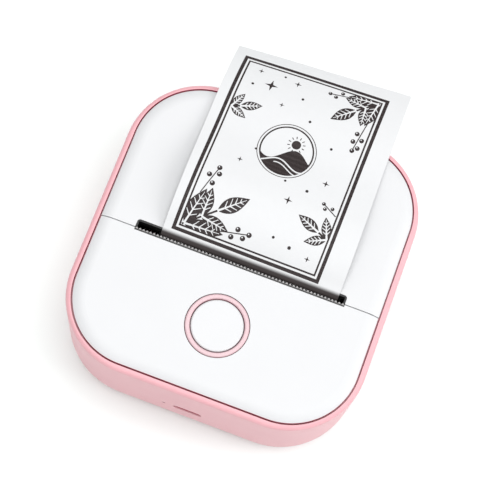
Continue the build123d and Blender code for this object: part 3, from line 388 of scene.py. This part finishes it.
def catmull(p0, p1, p2, p3, t):
    return tuple(
        0.5 * (2 * b + (c - a) * t + (2 * a - 5 * b + 4 * c - d) * t * t + (3 * b - a - 3 * c + d) * t ** 3)
        for a, b, c, d in zip(p0, p1, p2, p3)
    )


_pad = [STRIP_PATH[0]] + STRIP_PATH + [STRIP_PATH[-1]]
_line = []
for _i in range(1, len(_pad) - 2):
    for _k in range(20):
        _line.append(catmull(_pad[_i - 1], _pad[_i], _pad[_i + 1], _pad[_i + 2], _k / 20))
_line.append(STRIP_PATH[-1])
_arc = [0.0]
for _a, _b in zip(_line, _line[1:]):
    _arc.append(_arc[-1] + hypot(_b[0] - _a[0], _b[1] - _a[1]))
STRIP_LEN = _arc[-1]


def strip_at(s):
    i = min(max(bisect_right(_arc, s) - 1, 0), len(_arc) - 2)
    t = (s - _arc[i]) / (_arc[i + 1] - _arc[i])
    a, b = _line[i], _line[i + 1]
    return a[0] + (b[0] - a[0]) * t, a[1] + (b[1] - a[1]) * t


def strip_point(x, s, lift=0.0):
    """Point on the strip, millimetres across and along, lifted off its upper face."""
    y, z = strip_at(s)
    y0, z0 = strip_at(max(s - 0.6, 0.0))
    y1, z1 = strip_at(min(s + 0.6, STRIP_LEN))
    d = hypot(y1 - y0, z1 - z0)
    ny, nz = -(z1 - z0) / d, (y1 - y0) / d
    # a faint bow across the width, none at the slot
    free = min(max((s - 2.0) / 18.0, 0.0), 1.0)
    u = (x - (PX0 + PX1) / 2) / ((PX1 - PX0) / 2)
    bow = free * (0.10 * (1 - u * u) + 0.05 * sin(3.1 * u + s * 0.13))
    h = lift + bow
    # the right-hand side curls down less than the left one, and the end leans a little to the right
    t = min(max((s - 40.0) / 30.0, 0.0), 1.0)
    rise = 4.6 * t * t * (0.5 + 0.5 * u)
    lean = 0.3 * t * t
    return Vector((x + lean, y + ny * h, z + nz * h + rise)) * MM


def mesh_object(name, verts, faces, mat, smooth=True, uvs=None):
    me = bpy.data.meshes.new(name)
    me.from_pydata([tuple(v) for v in verts], [], faces)
    me.update()
    if smooth:
        for p in me.polygons:
            p.use_smooth = True
    if uvs is not None:
        layer = me.uv_layers.new(name="UVMap")
        for lo in me.loops:
            layer.data[lo.index].uv = uvs[lo.vertex_index]
    ob = bpy.data.objects.new(name, me)
    scene.collection.objects.link(ob)
    me.materials.append(mat)
    return ob


END_L, END_R = 67.4, 70.1      # length along the left and right edge


def build_strip():
    nx, ns = 26, 150
    half = 0.05
    rnd = random.Random(4)
    ragged = [rnd.uniform(-0.06, 0.06) for _ in range(nx + 1)]
    verts, uvs, faces = [], [], []
    for side in (1, -1):
        for j in range(ns + 1):
            for i in range(nx + 1):
                u = i / nx
                x = PX0 + (PX1 - PX0) * u
                end = END_L + (END_R - END_L) * u + ragged[i]
                s = end * j / ns
                verts.append(strip_point(x, min(s, STRIP_LEN), side * half))
                uvs.append((x, s))
    def vid(side, j, i):
        return side * (ns + 1) * (nx + 1) + j * (nx + 1) + i
    for j in range(ns):
        for i in range(nx):
            faces.append((vid(0, j, i), vid(0, j, i + 1), vid(0, j + 1, i + 1), vid(0, j + 1, i)))
            faces.append((vid(1, j, i), vid(1, j + 1, i), vid(1, j + 1, i + 1), vid(1, j, i + 1)))
    for j in range(ns):
        faces.append((vid(0, j, 0), vid(0, j + 1, 0), vid(1, j + 1, 0), vid(1, j, 0)))
        faces.append((vid(0, j, nx), vid(1, j, nx), vid(1, j + 1, nx), vid(0, j + 1, nx)))
    for i in range(nx):
        faces.append((vid(0, 0, i), vid(1, 0, i), vid(1, 0, i + 1), vid(0, 0, i + 1)))
        faces.append((vid(0, ns, i), vid(0, ns, i + 1), vid(1, ns, i + 1), vid(1, ns, i)))
    ob = mesh_object("paper_strip", verts, faces, mat_strip, uvs=uvs)
    es = ob.modifiers.new("edges", "EDGE_SPLIT")
    es.split_angle = radians(50)
    return ob


strip = build_strip()
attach(strip, "strip")
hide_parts("print_strip")

# The print. Drawn flat in millimetres, a across (0..44) and b along (0..60), then laid on the strip.
FW, FH = 44.0, 60.0
CORNER = {"bl": (-21.60, 3.25), "br": (22.22, 2.88), "tl": (-20.70, 63.72), "tr": (23.36, 65.0)}


def to_strip(a, b):
    u, v = a / FW, b / FH
    x = sum(w * CORNER[k][0] for k, w in (("bl", (1 - u) * (1 - v)), ("br", u * (1 - v)), ("tl", (1 - u) * v), ("tr", u * v)))
    s = sum(w * CORNER[k][1] for k, w in (("bl", (1 - u) * (1 - v)), ("br", u * (1 - v)), ("tl", (1 - u) * v), ("tr", u * v)))
    return x, s


def strip_of(points, width):
    """A band of that width along a line of points."""
    left, right = [], []
    for i, (a, b) in enumerate(points):
        a0, b0 = points[max(i - 1, 0)]
        a1, b1 = points[min(i + 1, len(points) - 1)]
        d = hypot(a1 - a0, b1 - b0) or 1.0
        w = width(i / (len(points) - 1)) if callable(width) else width
        na, nb = -(b1 - b0) / d * w / 2, (a1 - a0) / d * w / 2
        left.append((a + na, b + nb))
        right.append((a - na, b - nb))
    return left + right[::-1]


def rect(a0, b0, a1, b1):
    return [(a0, b0), (a1, b0), (a1, b1), (a0, b1)]


def disc(a, b, r, n=28):
    return [(a + r * cos(2 * pi * k / n), b + r * sin(2 * pi * k / n)) for k in range(n)]


def star(a, b, r, inner=0.3, n=4, turn=0.0):
    pts = []
    for k in range(2 * n):
        rr = r if k % 2 == 0 else r * inner
        t = turn + pi * k / n
        pts.append((a + rr * cos(t), b + rr * sin(t)))
    return pts


def leaf(a, b, length, width, angle, n=12):
    pts = []
    for side in (1, -1):
        for k in range(n + 1):
            t = k / n if side == 1 else 1 - k / n
            if side == -1 and k in (0, n):
                continue
            w = width / 2 * math.sin(pi * t ** 0.85) * side
            pts.append((a + length * t * cos(angle) - w * sin(angle), b + length * t * sin(angle) + w * cos(angle)))
    return pts


black, white = [], []
# double frame
T1, G1, T2 = 1.02, 0.58, 0.50
for inset, t in ((0.0, T1), (T1 + G1, T2)):
    a0, b0, a1, b1 = inset, inset, FW - inset, FH - inset
    black += [rect(a0, b0, a1, b0 + t), rect(a0, b1 - t, a1, b1), rect(a0, b0 + t, a0 + t, b1 - t), rect(a1 - t, b0 + t, a1, b1 - t)]
IN0 = T1 + G1 + T2
A0, A1, B0, B1 = IN0 - 0.1, FW - IN0 + 0.1, IN0 - 0.1, FH - IN0 + 0.1


def inside(poly):
    """Cut a polygon off at the inner line of the frame."""
    for axis, limit, keep in ((0, A0, 1), (0, A1, -1), (1, B0, 1), (1, B1, -1)):
        out = []
        for i, p in enumerate(poly):
            q = poly[i - 1]
            pin, qin = (p[axis] - limit) * keep >= 0, (q[axis] - limit) * keep >= 0
            if pin != qin:
                t = (limit - q[axis]) / (p[axis] - q[axis])
                out.append((q[0] + (p[0] - q[0]) * t, q[1] + (p[1] - q[1]) * t))
            if pin:
                out.append(p)
        poly = out
        if len(poly) < 3:
            return None
    return poly


def put(layer, poly):
    poly = inside(poly)
    if poly:
        layer.append(poly)


def ring(a, b, r, t, n=48):
    for k in range(n):
        t0, t1 = 2 * pi * k / n, 2 * pi * (k + 1) / n
        put(black, [(a + rr * cos(tt), b + rr * sin(tt)) for rr, tt in ((r, t0), (r + t, t0), (r + t, t1), (r, t1))])


def big_leaf(a, b, length, width, angle):
    """One broad leaf with a pale midrib and side veins."""
    put(black, leaf(a, b, length, width, angle, 18))
    ca, sa = cos(angle), sin(angle)
    put(white, strip_of([(a + length * q * ca, b + length * q * sa) for q in (0.0, 0.45, 0.90)], lambda q: 0.46 * (1 - q) + 0.14))
    for q in (0.22, 0.38, 0.54, 0.70):
        reach = width * 0.40 * math.sin(pi * min(q + 0.10, 0.96) ** 0.85)
        for side in (1, -1):
            u0, v0 = length * q, 0.0
            u1, v1 = length * q + reach * 0.85, side * reach
            put(white, strip_of([(a + u0 * ca - v0 * sa, b + u0 * sa + v0 * ca), (a + u1 * ca - v1 * sa, b + u1 * sa + v1 * ca)],
                                lambda t: 0.30 - 0.12 * t))


def bunch(a, b, heading, stem, pairs, tip):
    """A stem with broad leaves in pairs and one at its tip."""
    h = radians(heading)
    put(black, strip_of([(a, b), (a + stem * cos(h), b + stem * sin(h))], 0.55))
    for at, tilt, length, width in pairs:
        for side in (1, -1):
            big_leaf(a + stem * at * cos(h), b + stem * at * sin(h), length, width, h + side * radians(tilt))
    big_leaf(a + stem * cos(h), b + stem * sin(h), tip[0], tip[1], h)


def berries(a, b, heading, length, n, r):
    h = radians(heading)
    put(black, strip_of([(a, b), (a + length * cos(h), b + length * sin(h))], 0.30))
    for k in range(n):
        t = 0.45 + 0.55 * k / max(n - 1, 1)
        off = (0.0 if k == n - 1 else (1 if k % 2 else -1) * r * 1.5)
        x, y = a + length * t * cos(h) - off * sin(h), b + length * t * sin(h) + off * cos(h)
        put(black, disc(x, y, r, 20))
        put(white, disc(x - r * 0.3, y + r * 0.3, r * 0.28, 10))


E0, E1, E2, E3 = IN0 + 0.2, IN0 + 0.2, FW - IN0 - 0.2, FH - IN0 - 0.2
# bunch in the lower left corner
bunch(E0, E1, 40, 10.5, ((0.06, 37, 11.5, 4.6), (0.56, 50, 8.6, 3.8)), (9.6, 4.4))
berries(E0 + 10.0, E1 + 1.6, 12, 9.0, 4, 0.75)
berries(E0 + 1.6, E1 + 10.0, 74, 9.0, 4, 0.75)
# bunch in the upper right corner
bunch(E2, E3, 222, 7.5, ((0.05, 38, 9.0, 3.8), (0.60, 52, 6.6, 3.1)), (8.2, 3.8))
berries(E2 - 1.2, E3 - 8.2, 262, 9.5, 5, 0.7)
berries(E2 - 8.0, E3 - 1.2, 188, 6.5, 3, 0.6)
# leaves growing in from the sides
bunch(E0, 41.0, 20, 2.5, ((0.0, 44, 5.6, 2.4),), (6.4, 2.8))
bunch(E2, 12.0, 158, 3.0, ((0.0, 46, 6.4, 2.8),), (7.6, 3.2))
berries(E2, 19.0, 150, 5.0, 3, 0.55)

# round picture in the middle: hills under a low sun
VA, VB, VR = 22.0, 33.2, 7.4
ring(VA, VB, VR, 0.45)
ring(VA, VB, VR + 0.95, 0.22)


def back(x):
    return VB - 1.2 + 2.3 * sin((x - VA + 1.0) * 0.42)


def front(x):
    return VB - 4.1 + 1.2 * sin((x - VA) * 0.50 + 2.2)


def below(fn, n=30):
    r = VR + 0.05
    xs = [VA - r + 2 * r * k / n for k in range(n + 1)]
    top = [(x, fn(x)) for x in xs if hypot(x - VA, fn(x) - VB) < r]
    t0 = math.atan2(top[-1][1] - VB, top[-1][0] - VA)
    t1 = math.atan2(top[0][1] - VB, top[0][0] - VA)
    if t1 > t0:
        t1 -= 2 * pi
    return top + [(VA + r * cos(t0 + (t1 - t0) * k / 30), VB + r * sin(t0 + (t1 - t0) * k / 30)) for k in range(31)]


put(black, below(back))
put(white, strip_of([(VA - 6.0 + 12.4 * k / 24, front(VA - 6.0 + 12.4 * k / 24)) for k in range(25)], 0.42))
put(white, strip_of([(VA - 2.4 + 7.0 * k / 16, front(VA - 2.4 + 7.0 * k / 16) - 1.3) for k in range(17)], 0.34))
put(black, disc(VA + 1.9, VB + 2.9, 1.35, 24))
for k in range(12):
    t = 2 * pi * k / 12 + 0.26
    put(black, strip_of([(VA + 1.9 + r * cos(t), VB + 2.9 + r * sin(t)) for r in (1.85, 2.6)], 0.26))

for a, b, r in ((10.6, 51.6, 2.0), (17.6, 55.0, 1.1), (6.2, 55.6, 0.9), (15.6, 46.4, 0.8), (35.8, 27.6, 1.1),
                (10.6, 25.8, 0.9), (27.6, 18.8, 1.3), (38.6, 5.2, 0.9)):
    put(black, star(a, b, r, 0.28, 4, pi / 2))
for a, b, r in ((13.4, 56.2, 0.35), (5.4, 50.2, 0.4), (20.6, 50.4, 0.4), (24.8, 24.2, 0.35), (31.6, 23.4, 0.45),
                (32.8, 6.4, 0.5), (27.6, 7.6, 0.4), (13.6, 30.8, 0.35), (25.0, 44.2, 0.4), (33.6, 38.4, 0.4)):
    put(black, disc(a, b, r, 16))


def decal(name, polygons, mat, lift):
    """Flat polygons laid on the curved strip as a thin skin."""
    bm = bmesh.new()
    for k, poly in enumerate(polygons):
        vs = [bm.verts.new((a, b, 0.0)) for a, b in poly]
        try:
            bm.faces.new(vs)
        except ValueError:
            continue
    bm.normal_update()
    bmesh.ops.triangulate(bm, faces=bm.faces[:])
    s_cut = 1.0
    b = s_cut
    while b < FH:
        bmesh.ops.bisect_plane(bm, geom=bm.verts[:] + bm.edges[:] + bm.faces[:], plane_co=(0, b, 0), plane_no=(0, 1, 0))
        b += s_cut
    a = 4.0
    while a < FW:
        bmesh.ops.bisect_plane(bm, geom=bm.verts[:] + bm.edges[:] + bm.faces[:], plane_co=(a, 0, 0), plane_no=(1, 0, 0))
        a += 4.0
    for f in bm.faces:
        if f.normal.z < 0:
            f.normal_flip()
    for v in bm.verts:
        x, s = to_strip(v.co.x, v.co.y)
        v.co = strip_point(x, s, 0.05 + lift)
    me = bpy.data.meshes.new(name)
    bm.to_mesh(me)
    bm.free()
    for p in me.polygons:
        p.use_smooth = True
    ob = bpy.data.objects.new(name, me)
    scene.collection.objects.link(ob)
    me.materials.append(mat)
    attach(ob, "strip")
    return ob


ink = decal("paper_print", black, mat_ink, 0.015)
knock = decal("paper_print_highlights", white, mat_paper, 0.03)

# ---------------------------------------------------------------------------
# Stage, light and camera
# ---------------------------------------------------------------------------

_f = Mat("stage_floor", (0.890, 0.950, 0.934, 1), 0.9, spec=0.1)
_f.colour_noise((0.886, 0.946, 0.930, 1), (0.894, 0.954, 0.938, 1), 3, 2.0)
floor = mesh_object("floor", [(-6, -6, 0), (6, -6, 0), (6, 6, 0), (-6, 6, 0)], [(0, 1, 2, 3)], _f.m, smooth=False)

world = bpy.data.worlds.new("studio")
scene.world = world
world.use_nodes = True
bg = world.node_tree.nodes["Background"]
bg.inputs["Color"].default_value = (1.0, 1.0, 1.0, 1)
bg.inputs["Strength"].default_value = 0.495



def area(name, loc, target, size, power):
    light = bpy.data.lights.new(name, "AREA")
    light.shape = "DISK"
    light.size = size
    light.energy = power
    ob = bpy.data.objects.new(name, light)
    ob.location = loc
    ob.rotation_euler = (Vector(target) - Vector(loc)).to_track_quat("-Z", "Y").to_euler()
    scene.collection.objects.link(ob)
    return ob


area("overhead", (0.0, 0.05, 1.30), (0, 0, 0), 1.2, 11.5)
area("right", (1.20, 0.20, 0.90), (0, 0, 0), 1.1, 10.0)
area("front", (-0.20, -0.90, 1.00), (0, 0, 0), 1.1, 2.8)

C = Vector((15.70998, -123.50013, 455.62520)) * MM
R1 = Vector((0.9368091, 0.3429410, 0.0691386))
U1 = Vector((-0.3482382, 0.8952292, 0.2780192))
F1 = Vector((-0.0334493, 0.2845276, -0.9580841))
cam_data = bpy.data.cameras.new("camera")
cam_data.sensor_width = 36.0
cam_data.sensor_fit = "HORIZONTAL"
cam_data.lens = 1561.095 / 500 * 36
cam_data.clip_start = 0.01
cam = bpy.data.objects.new("camera", cam_data)
scene.collection.objects.link(cam)
m = Matrix.Identity(4)
for r in range(3):
    m[r][0], m[r][1], m[r][2], m[r][3] = R1[r], U1[r], -F1[r], C[r]
cam.matrix_world = m
scene.camera = cam

scene.view_settings.view_transform = "Standard"
scene.view_settings.look = "None"
scene.view_settings.exposure = 0.0
scene.view_settings.gamma = 1.0
